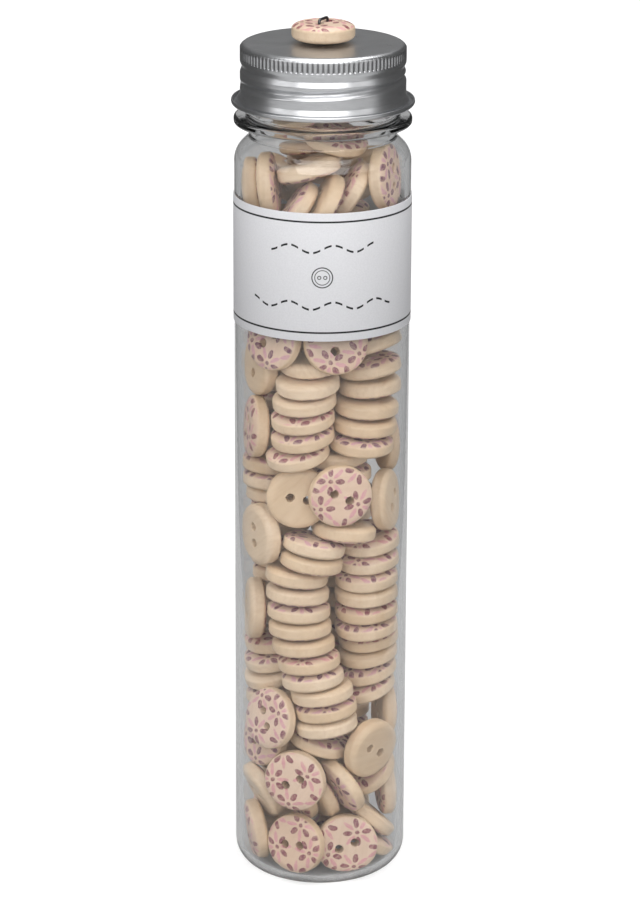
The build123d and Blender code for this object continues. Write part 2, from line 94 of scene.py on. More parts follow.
# Buttons
BUTTON_R, HALF, HALF_RIM, GIRTH_ROUND = 7.5, 2.0, 1.05, 0.85
FRONT_FLAT, BACK_FLAT = 5.0, 5.7
HOLE_R, HOLE_OFF, CHAMFER, CHAMFER_SIDE = 1.05, 2.1, 0.22, 0.06
SAMPLE_GAP, SAMPLE_TURN = 0.75, 62
SAMPLE_LOW = CAP_TOP + SAMPLE_GAP
WIRE_RISE, WIRE_TAIL, WIRE_BEND = 0.9, 3.2, 2 * WIRE_R

# Stage, in metres
FLOOR_R, FLOOR_Z, FLOOR_SIDES = 3, -0.0004, 64
CARD_NEAR, CARD_FAR, CARD_HEIGHT = (0.15, -0.04), (0.24, 0.95), 0.4
CAMERA_AT, CAMERA_LENS, CAMERA_SENSOR = (-0.00035, -0.8386, 0.3813), 145.8, 36
CAMERA_DOWN, CAMERA_ROLL = 18.06, 0.256


def linear(r, g, b):
    """Linear colour from 0 to 255 screen values."""
    def one(v):
        v = v / 255
        return v / 12.92 if v <= 0.04045 else ((v + 0.055) / 1.055) ** 2.4
    return one(r), one(g), one(b), 1.0


class Nodes:
    """Short calls for building a node tree."""

    def __init__(self, tree):
        self.tree = tree

    def add(self, kind, **settings):
        node = self.tree.nodes.new(kind)
        for key, value in settings.items():
            setattr(node, key, value)
        return node

    def link(self, out, socket):
        self.tree.links.new(out, socket)

    def feed(self, socket, value):
        if isinstance(value, bpy.types.NodeSocket):
            self.link(value, socket)
        else:
            socket.default_value = value

    def math(self, operation, a, b=0.0, c=0.0, clamp=False):
        node = self.add("ShaderNodeMath", operation=operation, use_clamp=clamp)
        for socket, value in zip(node.inputs, (a, b, c)):
            self.feed(socket, value)
        return node.outputs[0]

    def vector(self, operation, a, b=(0, 0, 0)):
        node = self.add("ShaderNodeVectorMath", operation=operation)
        self.feed(node.inputs[0], a)
        self.feed(node.inputs[1], b)
        return node.outputs[0]

    def mix(self, factor, a, b):
        node = self.add("ShaderNodeMix", data_type="RGBA")
        self.feed(node.inputs[0], factor)
        self.feed(node.inputs[6], a)
        self.feed(node.inputs[7], b)
        return node.outputs[2]

    def ramp(self, value, low, high, low_out=0.0, high_out=1.0):
        node = self.add("ShaderNodeMapRange", interpolation_type="SMOOTHSTEP")
        for k, item in enumerate((value, low, high, low_out, high_out)):
            self.feed(node.inputs[k], item)
        return node.outputs[0]

    def noise(self, vector, scale, detail=3.0, rough=0.5):
        node = self.add("ShaderNodeTexNoise")
        self.feed(node.inputs["Vector"], vector)
        node.inputs["Scale"].default_value = scale
        node.inputs["Detail"].default_value = detail
        node.inputs["Roughness"].default_value = rough
        return node.outputs[0]

    def noise_color(self, vector, scale):
        node = self.add("ShaderNodeTexNoise")
        self.feed(node.inputs["Vector"], vector)
        node.inputs["Scale"].default_value = scale
        return node.outputs[1]

    def attribute(self, name):
        return self.add("ShaderNodeAttribute", attribute_name=name)

    def bump(self, height, strength, distance):
        node = self.add("ShaderNodeBump")
        node.inputs["Strength"].default_value = strength
        node.inputs["Distance"].default_value = distance
        self.link(height, node.inputs["Height"])
        return node.outputs[0]


def material(name, **values):
    """New material with a principled shader; returns the material, its nodes and the shader."""
    mat = bpy.data.materials.new(name)
    mat.use_nodes = True
    nodes = Nodes(mat.node_tree)
    shader = next(n for n in mat.node_tree.nodes if n.type == "BSDF_PRINCIPLED")
    for key, value in values.items():
        shader.inputs[key.replace("_", " ")].default_value = value
    return mat, nodes, shader


def piece(name, points, faces, mat, body, replaced, normals=None, attributes=None):
    """Mesh object from points in millimetres, riding on a body."""
    mesh = bpy.data.meshes.new(name)
    mesh.from_pydata((np.asarray(points) * MM).tolist(), [], [list(map(int, f)) for f in faces])
    mesh.materials.append(mat)
    mesh.polygons.foreach_set("use_smooth", [True] * len(mesh.polygons))
    for key, (kind, values) in (attributes or {}).items():
        data = mesh.attributes.new(key, kind, "POINT")
        field = "vector" if kind == "FLOAT_VECTOR" else "value"
        data.data.foreach_set(field, np.asarray(values, dtype=np.float32).ravel())
    mesh.update()
    if normals is not None:
        mesh.normals_split_custom_set_from_vertices(np.asarray(normals).tolist())
    obj = bpy.data.objects.new(name, mesh)
    scene.collection.objects.link(obj)
    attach(obj, body)
    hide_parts(*replaced)
    return obj


def grid_faces(rows, columns, closed_rows=False):
    """Quads of a grid that closes round its columns, and round its rows if asked."""
    faces = []
    last = rows if closed_rows else rows - 1
    for i in range(last):
        below = i * columns
        above = ((i + 1) % rows) * columns
        for j in range(columns):
            k = (j + 1) % columns
            faces.append((below + j, below + k, above + k, above + j))
    return faces


def rounded(points, steps=8):
    """Line through (r, z, radius) points with its corners rounded by arcs."""
    out = []
    for k, (r, z, radius) in enumerate(points):
        here = np.array([r, z], float)
        if radius <= 0 or k in (0, len(points) - 1):
            out.append(here)
            continue
        before = np.array(points[k - 1][:2], float) - here
        after = np.array(points[k + 1][:2], float) - here
        before /= np.linalg.norm(before)
        after /= np.linalg.norm(after)
        half = math.acos(np.clip(before @ after, -1, 1)) / 2
        middle = (before + after) / np.linalg.norm(before + after)
        centre = here + middle * radius / math.sin(half)
        start = here + before * radius / math.tan(half) - centre
        end = here + after * radius / math.tan(half) - centre
        sweep = math.acos(np.clip(start @ end / radius ** 2, -1, 1))
        for t in np.linspace(0, 1, steps + 1):
            blend = (math.sin((1 - t) * sweep) * start + math.sin(t * sweep) * end) / math.sin(sweep)
            out.append(centre + blend)
    return np.array(out)


def refine(line, step, low, high):
    """Line with more points where its height lies between low and high."""
    out = [line[0]]
    for a, b in zip(line[:-1], line[1:]):
        inside = low - step <= min(a[1], b[1]) and max(a[1], b[1]) <= high + step
        parts = max(1, math.ceil(np.linalg.norm(b - a) / step)) if inside else 1
        out.extend(a + (b - a) * t for t in np.linspace(0, 1, parts + 1)[1:])
    return np.array(out)


def helix_share(angle, z, low, start, turns, width):
    """How close a point of a wall lies to a helix with faded ends: 0 away from it, 1 on its line."""
    ends_per_turn = 12
    share = np.zeros_like(z)
    for lap in range(-1, 3):
        along = (angle + 360 * lap - start) / 360
        inside = np.clip(np.minimum(along, turns - along) * ends_per_turn, 0, 1)
        away = np.abs(z - low - PITCH * along)
        share = np.maximum(share, inside * np.clip(1 - away / width, 0, 1))
    return share


def smooth(t):
    """Soft step from 0 to 1."""
    return t * t * (3 - 2 * t)


def spun(line, columns, radius_change=None):
    """Points of a line of (r, z) turned about the Z axis, with an optional change of radius."""
    angle = np.arange(columns) * 360 / columns
    r = np.repeat(line[:, :1], columns, 1)
    z = np.repeat(line[:, 1:], columns, 1)
    a = np.repeat(angle[None], len(line), 0)
    if radius_change is not None:
        r = r + radius_change(a, r, z)
    turn = np.radians(a)
    return np.stack([r * np.cos(turn), r * np.sin(turn), z], -1).reshape(-1, 3)


def lathe(line, columns, change=None):
    """Points and faces of a line of (r, z) turned about Z; an end on the axis closes in one point."""
    axis = 1e-6
    open_low = line[0, 0] > axis
    open_high = line[-1, 0] > axis
    rows = line if open_low else line[1:]
    rows = rows if open_high else rows[:-1]
    points = spun(rows, columns, change)
    faces = grid_faces(len(rows), columns)
    if not open_low:
        pole = len(points)
        points = np.vstack([points, [[0, 0, line[0, 1]]]])
        faces += [(pole, (j + 1) % columns, j) for j in range(columns)]
    if not open_high:
        pole = len(points)
        points = np.vstack([points, [[0, 0, line[-1, 1]]]])
        top = (len(rows) - 1) * columns
        faces += [(pole, top + j, top + (j + 1) % columns) for j in range(columns)]
    return points, faces


# Wood of the buttons, with the print on the front


def flower_group():
    """Node group: how far a point lies inside the dark petals, the pale petals and the middle of a flower."""
    group = bpy.data.node_groups.new("flower", "ShaderNodeTree")
    face = group.interface
    face.new_socket("Vector", in_out="INPUT", socket_type="NodeSocketVector")
    face.new_socket("Middle", in_out="INPUT", socket_type="NodeSocketVector")
    face.new_socket("Turn", in_out="INPUT", socket_type="NodeSocketFloat")
    for name in ("Dark", "Pale", "Dot"):
        face.new_socket(name, in_out="OUTPUT", socket_type="NodeSocketFloat")
    n = Nodes(group)
    source = n.add("NodeGroupInput").outputs
    sink = n.add("NodeGroupOutput").inputs
    turned = n.add("ShaderNodeVectorRotate", rotation_type="Z_AXIS")
    n.link(n.vector("SUBTRACT", source["Vector"], source["Middle"]), turned.inputs["Vector"])
    n.link(source["Turn"], turned.inputs["Angle"])
    split = n.add("ShaderNodeSeparateXYZ")
    n.link(turned.outputs[0], split.inputs[0])
    x, y = split.outputs[0], split.outputs[1]

    def petals(u, v, reach, length, width):
        u = n.math("ABSOLUTE", u)
        v = n.math("ABSOLUTE", v)
        along = n.math("DIVIDE", n.math("SUBTRACT", n.math("MAXIMUM", u, v), reach), length)
        across = n.math("DIVIDE", n.math("MINIMUM", u, v), width)
        square = n.math("ADD", n.math("MULTIPLY", along, along), n.math("MULTIPLY", across, across))
        return n.ramp(square, 1.15, 0.7)

    n.link(petals(x, y, reach=2.3, length=1.2, width=0.68), sink["Dark"])
    slant = n.math("MULTIPLY", n.math("ADD", x, y), math.sqrt(0.5))
    other = n.math("MULTIPLY", n.math("SUBTRACT", x, y), math.sqrt(0.5))
    n.link(petals(slant, other, reach=2.55, length=1.55, width=0.5), sink["Pale"])
    reach = n.math("SQRT", n.math("ADD", n.math("MULTIPLY", x, x), n.math("MULTIPLY", y, y)))
    n.link(n.ramp(reach, 0.62, 0.4), sink["Dot"])
    return group


# Middles of the printed flowers, in millimetres from the middle of the face, and their turns
FLOWERS = [(-2.8, 4.2, 0.08), (-5.2, -2.5, 0.0), (3.8, -1.9, -0.25), (4.3, 6.4, 0.05), (0.3, -8.6, 0.1),
           (-8.8, 2.9, 0.3)]


def wood_material():
    """Pale wood with grain, and the flowers printed where the face is high enough."""
    mat, n, shader = material("printed_wood", Roughness=0.42, Coat_Weight=0.25, Coat_Roughness=0.3)
    local = n.attribute("local").outputs["Vector"]
    tone = n.attribute("tone").outputs["Fac"]
    hue = n.attribute("hue").outputs["Fac"]
    grain_place = n.add("ShaderNodeCombineXYZ")
    split = n.add("ShaderNodeSeparateXYZ")
    n.link(local, split.inputs[0])
    stretch, shift = (0.07, 0.8, 0.5), (31.0, 17.0)
    for k, spread in enumerate((tone, hue)):
        along = n.math("MULTIPLY_ADD", split.outputs[k], stretch[k], n.math("MULTIPLY", spread, shift[k]))
        n.link(along, grain_place.inputs[k])
    n.link(n.math("MULTIPLY", split.outputs[2], stretch[2]), grain_place.inputs[2])
    grain = n.noise(grain_place.outputs[0], 1.6, 4.0, 0.6)
    cloud = n.noise(local, 0.22, 2.0)
    plain = n.mix(n.ramp(tone, 0.0, 1.0), linear(230, 207, 179), linear(218, 191, 158))
    plain = n.mix(n.ramp(grain, 0.35, 0.75, 0.0, 0.32), plain, linear(196, 161, 123))
    plain = n.mix(n.ramp(cloud, 0.4, 0.7, 0.0, 0.25), plain, linear(228, 206, 179))
    group = flower_group()
    shake = n.vector("SUBTRACT", n.noise_color(local, 0.9), (0.5, 0.5, 0.5))
    shaken = n.vector("ADD", local, n.vector("MULTIPLY", shake, (0.45, 0.45, 0.0)))
    masks = {"Dark": 0.0, "Pale": 0.0, "Dot": 0.0}
    for x, y, turn in FLOWERS:
        flower = n.add("ShaderNodeGroup", node_tree=group)
        n.link(shaken, flower.inputs["Vector"])
        flower.inputs["Middle"].default_value = (x, y, 0)
        flower.inputs["Turn"].default_value = turn
        for key in masks:
            masks[key] = n.math("MAXIMUM", masks[key], flower.outputs[key])
    worn = n.ramp(n.noise(local, 1.4, 5.0, 0.7), 0.3, 0.62, 0.55, 1.0)
    face = n.ramp(split.outputs[2], 1.0, 1.45)
    printed = n.mix(n.math("MULTIPLY", face, 0.35), plain, linear(214, 182, 172))
    pale = n.mix(hue, linear(204, 148, 172), linear(212, 140, 150))
    dark = n.mix(hue, linear(100, 44, 80), linear(130, 48, 66))
    for key, colour, most in (("Pale", pale, 0.8), ("Dark", dark, 0.95), ("Dot", dark, 0.9)):
        amount = n.math("MULTIPLY", n.math("MULTIPLY", masks[key], face), n.math("MULTIPLY", worn, most))
        printed = n.mix(amount, printed, colour)
    n.link(printed, shader.inputs["Base Color"])
    n.link(n.bump(grain, 0.12, 0.0002), shader.inputs["Normal"])
    return mat


# Buttons


def button_template(segments=40, hole_segments=14):
    """Points, normals and faces of one button: print up, middle at the origin, holes along X."""
    def edge(flat, sign):
        run = BUTTON_R - flat
        drop = HALF - HALF_RIM
        radius = (run ** 2 + drop ** 2) / (2 * drop)
        turn = np.linspace(0, math.asin(run / radius), 6)
        return [(flat + radius * math.sin(t), sign * (HALF - radius * (1 - math.cos(t))), 0) for t in turn]

    front = edge(FRONT_FLAT, 1)
    back = edge(BACK_FLAT, -1)
    front[-1] = (*front[-1][:2], GIRTH_ROUND)
    back[-1] = (*back[-1][:2], GIRTH_ROUND)
    line = rounded(front + back[::-1], steps=4)
    points = spun(line, segments)
    faces = [f[::-1] for f in grid_faces(len(line), segments)]
    along = np.gradient(line, axis=0)
    slope = np.stack([-along[:, 1], along[:, 0]], -1)
    slope[0] = (0, 1)
    slope[-1] = (0, -1)
    slope /= np.linalg.norm(slope, axis=1, keepdims=True)
    angle = np.arange(segments) * 2 * math.pi / segments
    normals = np.stack([slope[:, :1] * np.cos(angle), slope[:, :1] * np.sin(angle),
                        np.repeat(slope[:, 1:], segments, 1)], -1).reshape(-1, 3)
    points, normals = [points], [normals]
    start = len(points[0])
    ring = np.arange(hole_segments) * 2 * math.pi / hole_segments
    circle = np.stack([np.cos(ring), np.sin(ring)], -1)
    for sign, flat in ((1, FRONT_FLAT), (-1, BACK_FLAT)):
        rim = np.stack([flat * np.cos(angle), flat * np.sin(angle)], -1)
        holes = [circle * (HOLE_R + CHAMFER) + (side * HOLE_OFF, 0) for side in (-1, 1)]
        plan = np.vstack([rim] + holes)
        edges = []
        low = 0
        for size in (segments, hole_segments, hole_segments):
            edges += [(low + k, low + (k + 1) % size) for k in range(size)]
            low += size
        flat_points, _, cells, _, _, _ = delaunay_2d_cdt([tuple(p) for p in plan], edges, [], 1, 1e-5)
        flat_points = np.array([tuple(p) for p in flat_points])
        for cell in cells:
            middle = flat_points[list(cell)].mean(0)
            if min(np.hypot(middle[0] - side * HOLE_OFF, middle[1]) for side in (-1, 1)) < HOLE_R:
                continue
            a, b, c = (flat_points[k] for k in cell)
            turn = (b - a)[0] * (c - a)[1] - (b - a)[1] * (c - a)[0]
            cell = list(cell) if turn * sign > 0 else list(cell)[::-1]
            faces.append(tuple(start + k for k in cell))
        points.append(np.column_stack([flat_points, np.full(len(flat_points), sign * HALF)]))
        normals.append(np.tile((0, 0, sign), (len(flat_points), 1)))
        start += len(flat_points)
    for side in (-1, 1):
        upper = [(HOLE_R + CHAMFER, HALF), (HOLE_R + CHAMFER_SIDE, HALF - CHAMFER * 0.6),
                 (HOLE_R, HALF - CHAMFER * 1.6)]
        rows = upper + [(r, -z) for r, z in upper[::-1]]
        lift = [0.9, 0.5, 0, 0, -0.5, -0.9]
        wall = np.vstack([np.column_stack([circle * r + (side * HOLE_OFF, 0), np.full(hole_segments, z)])
                          for r, z in rows])
        points.append(wall)
        normals.append(np.vstack([np.column_stack([-circle * math.sqrt(1 - s * s), np.full(hole_segments, s)])
                                  for s in lift]))
        faces += [tuple(start + k for k in f) for f in grid_faces(len(rows), hole_segments)]
        start += len(wall)
    return np.vstack(points), np.vstack(normals), faces


def solids(obj):
    """Vertices and triangles of each separate solid in a node's mesh, in millimetres."""
    mesh = obj.data
    mesh.calc_loop_triangles()
    points = np.zeros(len(mesh.vertices) * 3)
    mesh.vertices.foreach_get("co", points)
    points = points.reshape(-1, 3) / MM
    corners = np.zeros(len(mesh.loop_triangles) * 3, np.int64)
    mesh.loop_triangles.foreach_get("vertices", corners)
    _, first, same = np.unique(np.round(points, 4), axis=0, return_index=True, return_inverse=True)
    points = points[first]
    corners = same.ravel()[corners].reshape(-1, 3)
    label = np.arange(len(points))
    while True:
        least = label[corners].min(1)
        fresh = label.copy()
        for k in range(3):
            np.minimum.at(fresh, corners[:, k], least)
        fresh = fresh[fresh]
        if (fresh == label).all():
            break
        label = fresh
    for value in np.unique(label):
        yield points, corners[label[corners[:, 0]] == value]


def placed(points, corners):
    """Middle, print direction and hole direction of a button solid."""
    a, b, c = (points[corners[:, k]] for k in range(3))
    flat_limit, hole_margin, tiny = 0.999, 0.2, 1e-12
    cross = np.cross(b - a, c - a)
    area = np.linalg.norm(cross, axis=1) + tiny
    way = cross / area[:, None]
    face = np.linalg.eigh((way * area[:, None]).T @ way)[1][:, 2]
    up = area[way @ face > flat_limit].sum()
    down = area[way @ face < -flat_limit].sum()
    face = face if up < down else -face
    used = points[np.unique(corners)]
    helper = np.array([1.0, 0, 0]) if abs(face[0]) < 0.7 else np.array([0, 1.0, 0])
    side = np.cross(face, helper)
    side /= np.linalg.norm(side)
    over = np.cross(face, side)
    flat = np.stack([used @ side, used @ over, used @ face], -1)
    middle = (flat.min(0) + flat.max(0)) / 2
    flat = flat - middle
    near = flat[np.hypot(flat[:, 0], flat[:, 1]) < HOLE_OFF + HOLE_R + hole_margin][:, :2]
    holes = np.linalg.eigh(near.T @ near)[1][:, 1]
    return side * middle[0] + over * middle[1] + face * middle[2], face, side * holes[0] + over * holes[1]


def print_turn(face, holes, angle):
    """Cosine and sine from the hole direction to the print's own X direction, angle away from level."""
    up = np.array([0, 0, 1.0]) if abs(face[2]) < 0.9 else np.array([0, 1.0, 0])
    level = np.cross(up, face)
    level /= np.linalg.norm(level)
    over = np.cross(face, level)
    x = level * math.cos(angle) + over * math.sin(angle)
    across = np.cross(face, holes)
    return x @ holes, x @ across


# Turn of the print, in radians, on the buttons where the photo shows it well; the others get a drawn one
PRINT_LEVEL = {"button_middle_02": 0.0, "sample_button": 0.9}
wood = wood_material()
form, form_normals, form_faces = button_template()
dice = np.random.default_rng(7)
for node, shown in sorted(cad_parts.items()):
    if not node.startswith(("button_", "stacks_", "sample_button")) or node == "button_wire":
        continue
    points, normals, faces, local, tone, hue = [], [], [], [], [], []
    for cloud, corners in solids(shown):
        middle, face, holes = placed(cloud, corners)
        across = np.cross(face, holes)
        turn = np.stack([holes, across, face])
        angle = PRINT_LEVEL.get(node, dice.uniform(0, 2 * math.pi))
        cos, sin = print_turn(face, holes, angle)
        faces += [tuple(len(points) * len(form) + k for k in f) for f in form_faces]
        points.append(form @ turn + middle)
        normals.append(form_normals @ turn)
        local.append(np.stack([form[:, 0] * cos + form[:, 1] * sin, form[:, 1] * cos - form[:, 0] * sin,
                               form[:, 2]], -1))
        tone.append(np.full(len(form), dice.uniform()))
        hue.append(np.full(len(form), dice.uniform()))
    body = "cap" if node == "sample_button" else "jar_body"
    piece("turned_" + node, np.vstack(points), faces, wood, body, [node], np.vstack(normals),
          {"local": ("FLOAT_VECTOR", np.vstack(local)), "tone": ("FLOAT", np.concatenate(tone)),
           "hue": ("FLOAT", np.concatenate(hue))})


# Jar


def jar_line():
    """Line of the jar's section from the middle of its underside, over the rim, to the middle of its floor."""
    slope = math.tan(math.radians(SHOULDER_SLOPE / 2))
    inner_r = JAR_R - WALL
    inner_shoulder = SHOULDER_Z - WALL * slope
    bore_low = inner_shoulder + inner_r - BORE_R
    dome = (RECESS_R ** 2 + RECESS_DEPTH ** 2) / (2 * RECESS_DEPTH)
    under = [(dome * math.sin(t), RECESS_DEPTH - dome * (1 - math.cos(t)), 0)
             for t in np.linspace(0, math.asin(RECESS_R / dome), 7)]
    outline = under + [
        (JAR_R, 0, CORNER), (JAR_R, SHOULDER_Z, SHOULDER_ROUND), (NECK_R, NECK_Z, NECK_ROUND),
        (NECK_R, RING_LOW, NECK_ROUND), (RING_R, RING_LOW, RING_ROUND), (RING_R, RING_HIGH, RING_ROUND),
        (NECK_R, RING_HIGH, NECK_ROUND), (NECK_R, RIM_Z, RIM_ROUND), (BORE_R, RIM_Z, RIM_ROUND),
        (BORE_R, bore_low, NECK_ROUND), (inner_r, inner_shoulder, SHOULDER_ROUND - WALL),
        (inner_r, BASE, CORNER - WALL), (0, BASE, 0)]
    fine_low, fine_high = THREAD_LOW - 2, RIM_Z - 0.6
    return refine(rounded(outline), FINE_STEP, fine_low, fine_high)


def neck_thread(angle, r, z):
    """Change of radius where the neck carries its thread."""
    on_wall = np.abs(r - NECK_R) < 0.02
    share = helix_share(angle, z, THREAD_LOW, 0, THREAD_TURNS, THREAD_ROOT / 2)
    rise = np.clip(share * THREAD_ROOT / (THREAD_ROOT - THREAD_CREST), 0, 1)
    return np.where(on_wall, smooth(rise) * THREAD_DEPTH, 0)


def clear_material():
    """Clear plastic that takes a little light away where it is thick."""
    mat, n, shader = material("clear_jar", Roughness=0.015, IOR=1.5, Transmission_Weight=1.0)
    place = n.add("ShaderNodeTexCoord").outputs["Object"]
    tint = n.mix(n.noise(place, 40.0), linear(250, 251, 252), linear(255, 255, 255))
    n.link(tint, shader.inputs["Base Color"])
    n.link(n.bump(n.noise(place, 55.0, 1.0), 0.03, 0.001), shader.inputs["Normal"])
    smoke = n.add("ShaderNodeVolumeAbsorption")
    smoke.inputs["Color"].default_value = (0.03, 0.03, 0.03, 1)
    smoke.inputs["Density"].default_value = 18
    output = next(k for k in mat.node_tree.nodes if k.type == "OUTPUT_MATERIAL")
    n.link(smoke.outputs[0], output.inputs["Volume"])
    return mat


jar_points, jar_faces = lathe(jar_line(), JAR_COLUMNS, neck_thread)
jar = piece("tube_jar", jar_points, jar_faces, clear_material(), "jar_body", ["jar"])
jar.visible_shadow = False


# Label


def label_lap(angle, r, z):
    """Change of radius on the outer side where the ends overlap at the back."""
    away = np.abs(angle - LAP_ANGLE) * math.pi / 180 * LABEL_R
    rise = np.clip((LAP_HALF - away) / LAP_FADE, 0, 1) * LABEL_PAPER
    return np.where(r > LABEL_R + LABEL_PAPER / 2, rise, 0)


def paper_material():
    """White paper with border lines, two stitched lines and a drawn button at the front."""
    mat, n, shader = material("label_paper", Roughness=0.5, Specular_IOR_Level=0.35)
    place = n.add("ShaderNodeTexCoord").outputs["Object"]
    split = n.add("ShaderNodeSeparateXYZ")
    n.link(n.vector("MULTIPLY", place, (1 / MM, 1 / MM, 1 / MM)), split.inputs[0])
    x, y, z = split.outputs
    arc = n.math("MULTIPLY", n.math("ARCTAN2", x, n.math("MULTIPLY", y, -1.0)), LABEL_R)
    height = n.math("SUBTRACT", z, LABEL_LOW)

    def away(value, middle):
        return n.math("ABSOLUTE", n.math("SUBTRACT", value, middle))

    def line(value, middle, half, soft=0.06):
        return n.ramp(away(value, middle), half + soft, half - soft)

    lower = line(height, BORDER_IN, BORDER_HALF)
    ink = n.math("MAXIMUM", lower, line(height, LABEL_WIDTH - BORDER_IN, BORDER_HALF))
    for middle, reach in STITCHES:
        dash = away(n.math("FRACT", n.math("DIVIDE", arc, STITCH_PITCH)), 0.5)
        wave = n.math("MULTIPLY_ADD", n.math("SINE", n.math("MULTIPLY", arc, WAVE_RATE)), WAVE_RISE, middle)
        stitch = n.math("MULTIPLY", n.ramp(away(height, wave), 0.3, 0.2), n.ramp(dash, 0.34, 0.3))
        ends = n.ramp(n.math("ABSOLUTE", arc), reach, reach - 0.2)
        ink = n.math("MAXIMUM", ink, n.math("MULTIPLY", stitch, ends))
    for side, reach, half in CIRCLES:
        across = n.math("POWER", n.math("SUBTRACT", arc, side), 2.0)
        up = n.math("POWER", n.math("SUBTRACT", height, CIRCLES_Z), 2.0)
        ink = n.math("MAXIMUM", ink, line(n.math("SQRT", n.math("ADD", across, up)), reach, half))
    fibre = n.noise(place, 2600.0, 3.0)
    sheet = n.mix(n.ramp(fibre, 0.3, 0.7), linear(226, 226, 229), linear(231, 231, 234))
    n.link(n.mix(ink, sheet, linear(30, 30, 32)), shader.inputs["Base Color"])
    n.link(n.bump(fibre, 0.1, 0.0001), shader.inputs["Normal"])
    return mat


seam = (LABEL_R, LABEL_LOW + LABEL_WIDTH / 2, 0)
label_line = rounded([
    seam, (LABEL_R, LABEL_LOW, LABEL_INNER_ROUND), (LABEL_OUT, LABEL_LOW, LABEL_OUTER_ROUND),
    (LABEL_OUT, LABEL_HIGH, LABEL_OUTER_ROUND), (LABEL_R, LABEL_HIGH, LABEL_INNER_ROUND), seam], steps=2)[:-1]
label_points = spun(label_line, LABEL_COLUMNS, label_lap)
label_faces = grid_faces(len(label_line), LABEL_COLUMNS, closed_rows=True)
piece("paper_label", label_points, label_faces, paper_material(), "jar_body", ["label_band"])


# Cap


def cap_lines():
    """Outer line of the cap with its bead, and the line of its inner side."""
    wall = rounded([
        (0, CAP_TOP, 0), (CAP_R, CAP_TOP, EDGE_ROUND), (CAP_R, KNURL_LOW, BEND_ROUND),
        (SKIRT_R - NOTCH_DEPTH, NOTCH_Z, NOTCH_ROUND), (SKIRT_R, NOTCH_Z - NOTCH_RISE, BEND_ROUND),
        (SKIRT_R, CURL_Z + FLARE_HEIGHT, FLARE_HEIGHT / 2), (LIP, CURL_Z + CURL_R, CURL_R), (LIP, CURL_Z, 0)],
        steps=6)
    fine_low, fine_high = CURL_Z + 1.4, CAP_TOP - 1.0
    wall = refine(wall, FINE_STEP, fine_low, fine_high)
    plate = np.array([(r, CAP_TOP) for r in PLATE_RINGS])
    wall = np.vstack([plate, wall[wall[:, 0] > PLATE_FLAT]])
    middle = np.array([LIP + CURL_R, CURL_Z])

    def arc(radius, start, end, steps):
        turn = np.radians(np.linspace(start, end, steps))
        return middle + radius * np.stack([np.cos(turn), np.sin(turn)], -1)

    outer = np.vstack([wall, arc(CURL_R, 190, 395, steps=9), arc(CURL_R + SHEET, 392, 250, steps=12)])
    along = np.gradient(wall, axis=0)
    along /= np.linalg.norm(along, axis=1, keepdims=True)
    inside = wall + SHEET * np.stack([along[:, 1], -along[:, 0]], -1)
    inside[:, 0] = np.maximum(inside[:, 0], 0)
    inner = np.vstack([arc(CURL_R + SHEET, 250, 184, steps=6), inside[::-1]])
    return outer, inner


def rolled(angle, r, z, radius):
    """Change of radius where the thread is rolled into the skirt."""
    low = THREAD_LOW - PITCH / 2 + PITCH * ROLL_START / 360
    share = helix_share(angle, z, low, ROLL_START, ROLL_TURNS, ROLL_WIDTH / 2)
    depth = np.where(np.abs(r - radius) < ROLL_REACH, smooth(share), 0)
    return np.minimum(r, radius - ROLL_DEPTH * depth) - r


def knurl_share(angle):
    """How deep the knurl's grooves are at an angle, from 0 on a rib to 1 in the middle of a groove."""
    step = 360 / KNURLS
    away = np.abs((angle + step / 2) % step - step / 2) * math.pi / 180 * CAP_R
    return smooth(np.clip(1 - away / KNURL_HALF, 0, 1))


def outside(angle, r, z):
    """Change of radius on the outer side: the rolled thread and the knurl."""
    margin = 0.1
    change = np.where(z > ROLL_FOOT, rolled(angle, r, z, SKIRT_R), 0)
    groove = KNURL_DEPTH * knurl_share(angle) * smooth(np.clip((z - KNURL_LOW) / KNURL_FADE, 0, 1))
    cut = np.minimum(r, CAP_R - groove) - r
    return change + np.where(z > KNURL_LOW - margin, cut, 0)


def within(angle, r, z):
    """Change of radius on the inner side, which has the thread alone."""
    return np.where(z > ROLL_FOOT, rolled(angle, r, z, SKIRT_R - SHEET), 0)


def cap_material():
    """Brushed aluminium, with painted shade darkening the knurl's grooves."""
    mat, n, shader = material("cap_aluminium", Metallic=1.0, Roughness=0.3)
    place = n.add("ShaderNodeTexCoord").outputs["Object"]
    scuff = n.noise(n.vector("MULTIPLY", place, (1.0, 1.0, 6.0)), 260.0, 4.0, 0.6)
    sheen = n.mix(n.ramp(scuff, 0.3, 0.75), linear(214, 215, 217), linear(204, 205, 207))
    # Painted shade: the knurl's grooves are mixed towards dark grey by how deep they are
    groove_shade = n.attribute("groove_shade").outputs["Fac"]
    n.link(n.mix(groove_shade, sheen, linear(110, 110, 112)), shader.inputs["Base Color"])
    n.link(n.ramp(scuff, 0.2, 0.8, 0.27, 0.34), shader.inputs["Roughness"])
    return mat


outer, inner = cap_lines()
outer_points, outer_faces = lathe(outer, CAP_COLUMNS, outside)
inner_points, inner_faces = lathe(inner, INNER_COLUMNS, within)
cap_faces = [f[::-1] for f in outer_faces]
cap_faces += [tuple(len(outer_points) + k for k in f[::-1]) for f in inner_faces]
x, y, z = outer_points.T
# Painted shade in the knurl: how far each outer point lies in a groove, fading at the band's ends
knurl_shade_share = knurl_share(np.degrees(np.arctan2(y, x))) * np.clip((z - KNURL_LOW) / KNURL_FADE, 0, 1)
knurl_shade_share *= np.clip((KNURL_HIGH - z) / KNURL_FADE, 0, 1)
groove_shade = np.concatenate([knurl_shade_share, np.zeros(len(inner_points))])
piece("aluminium_cap", np.vstack([outer_points, inner_points]), cap_faces, cap_material(), "cap",
      ["screw_cap"], attributes={"groove_shade": ("FLOAT", groove_shade)})


# Wire staple of the sample button


